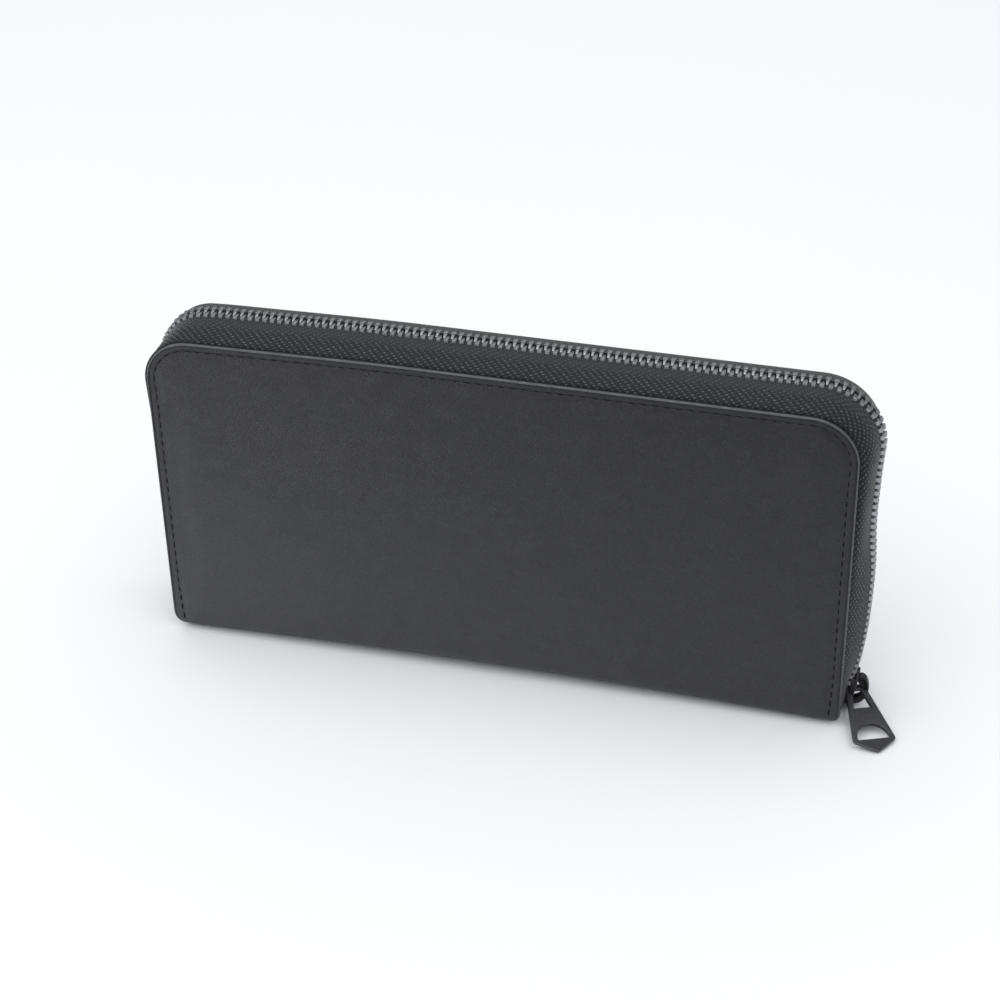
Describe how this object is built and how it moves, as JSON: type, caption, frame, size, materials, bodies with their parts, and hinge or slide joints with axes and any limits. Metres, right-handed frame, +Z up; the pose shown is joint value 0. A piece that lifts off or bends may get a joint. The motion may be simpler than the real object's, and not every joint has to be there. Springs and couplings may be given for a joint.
{
  "type": "long wallet",
  "caption": "Long zip-around leather wallet standing on its spine, with covers that open, card pockets, a zipped coin pocket, pleated gussets and zip pulls.",
  "frame": {"origin": "middle of the spine's underside, on the table", "axes": "+X along the wallet towards the end where the zip closes, +Y from the front cover to the back cover, +Z up from the table"},
  "size_m": [0.2076, 0.03, 0.0986],
  "materials": {
    "outer_leather": "smooth fine-grain black leather, soft satin",
    "inner_leather": "smooth black leather",
    "gusset_fabric": "black satin lining cloth",
    "pocket_fabric": "black twill lining cloth",
    "zip_tape": "herringbone woven tape",
    "thread": "waxed black thread",
    "teeth_metal": "gunmetal plated",
    "slider_metal": "satin black plated",
    "foam": "thin grey foam",
    "board": "pressed fibre board"
  },
  "bodies": {
    "spine": {"spine_leather": "outer_leather", "spine_board": "board", "coin_wall_front": "pocket_fabric", "coin_wall_back": "pocket_fabric", "coin_pocket_sides": "pocket_fabric", "coin_pocket_floor": "pocket_fabric", "coin_tape_front": "zip_tape", "coin_tape_back": "zip_tape", "coin_teeth_front": "teeth_metal", "coin_teeth_back": "teeth_metal", "coin_zip_stops": "teeth_metal", "gusset_front_left": "gusset_fabric", "gusset_front_right": "gusset_fabric", "gusset_back_left": "gusset_fabric", "gusset_back_right": "gusset_fabric", "zip_foot_tabs": "outer_leather"},
    "front_half": {"front_leather": "outer_leather", "front_seam_thread": "thread", "front_foam": "foam", "front_board": "board", "front_lining": "inner_leather", "front_card_pocket_1": "inner_leather", "front_card_pocket_2": "inner_leather", "front_card_pocket_3": "inner_leather", "front_card_pocket_4": "inner_leather", "front_tape_top": "zip_tape", "front_tape_left": "zip_tape", "front_tape_right": "zip_tape", "front_teeth_top": "teeth_metal", "front_teeth_left": "teeth_metal", "front_teeth_right": "teeth_metal"},
    "back_half": {"back_leather": "outer_leather", "back_seam_thread": "thread", "back_foam": "foam", "back_board": "board", "back_lining": "inner_leather", "back_card_pocket_1": "inner_leather", "back_card_pocket_2": "inner_leather", "back_card_pocket_3": "inner_leather", "back_card_pocket_4": "inner_leather", "back_tape_top": "zip_tape", "back_tape_left": "zip_tape", "back_tape_right": "zip_tape", "back_teeth_top": "teeth_metal", "back_teeth_left": "teeth_metal", "back_teeth_right": "teeth_metal"},
    "zip_slider": {"slider_body": "slider_metal", "slider_bridge": "slider_metal"},
    "zip_pull": {"pull_tab": "slider_metal"},
    "coin_slider": {"coin_slider_body": "slider_metal", "coin_slider_bridge": "slider_metal"},
    "coin_pull": {"coin_pull_tab": "slider_metal"}
  },
  "joints": [
    {"name": "front_open", "type": "hinge", "parent": "spine", "child": "front_half", "pos_m": [0, -0.0089, 0.0022], "axis": [1, 0, 0], "range_deg": [0, 28], "deforming": ["front_tape_left", "front_tape_right", "front_teeth_left", "front_teeth_right", "gusset_front_left", "gusset_front_right"]},
    {"name": "back_open", "type": "hinge", "parent": "spine", "child": "back_half", "pos_m": [0, 0.0089, 0.0022], "axis": [1, 0, 0], "range_deg": [-28, 0], "deforming": ["back_tape_left", "back_tape_right", "back_teeth_left", "back_teeth_right", "gusset_back_left", "gusset_back_right"]},
    {"name": "zip_close", "type": "slide", "parent": "spine", "child": "zip_slider", "axis": [-0.0464, 0, -0.9989], "range_m": [-0.058, 0], "deforming": ["front_tape_right", "front_teeth_right", "back_tape_right", "back_teeth_right"]},
    {"name": "pull_lift", "type": "hinge", "parent": "zip_slider", "child": "zip_pull", "pos_m": [0.09635, -0.001, 0.0061], "axis": [-0.8746, -0.4848, 0], "range_deg": [0, 45]},
    {"name": "coin_zip_close", "type": "slide", "parent": "spine", "child": "coin_slider", "axis": [1, 0, 0], "range_m": [-0.142, 0], "deforming": ["coin_tape_front", "coin_tape_back", "coin_teeth_front", "coin_teeth_back"]},
    {"name": "coin_pull_lift", "type": "hinge", "parent": "coin_slider", "child": "coin_pull", "pos_m": [0.069, 0, 0.08405], "axis": [0, 1, 0], "range_deg": [0, 45]}
  ],
  "couplings": [
    {"joint": "back_open", "follows": "front_open", "ratio": -1}
  ]
}
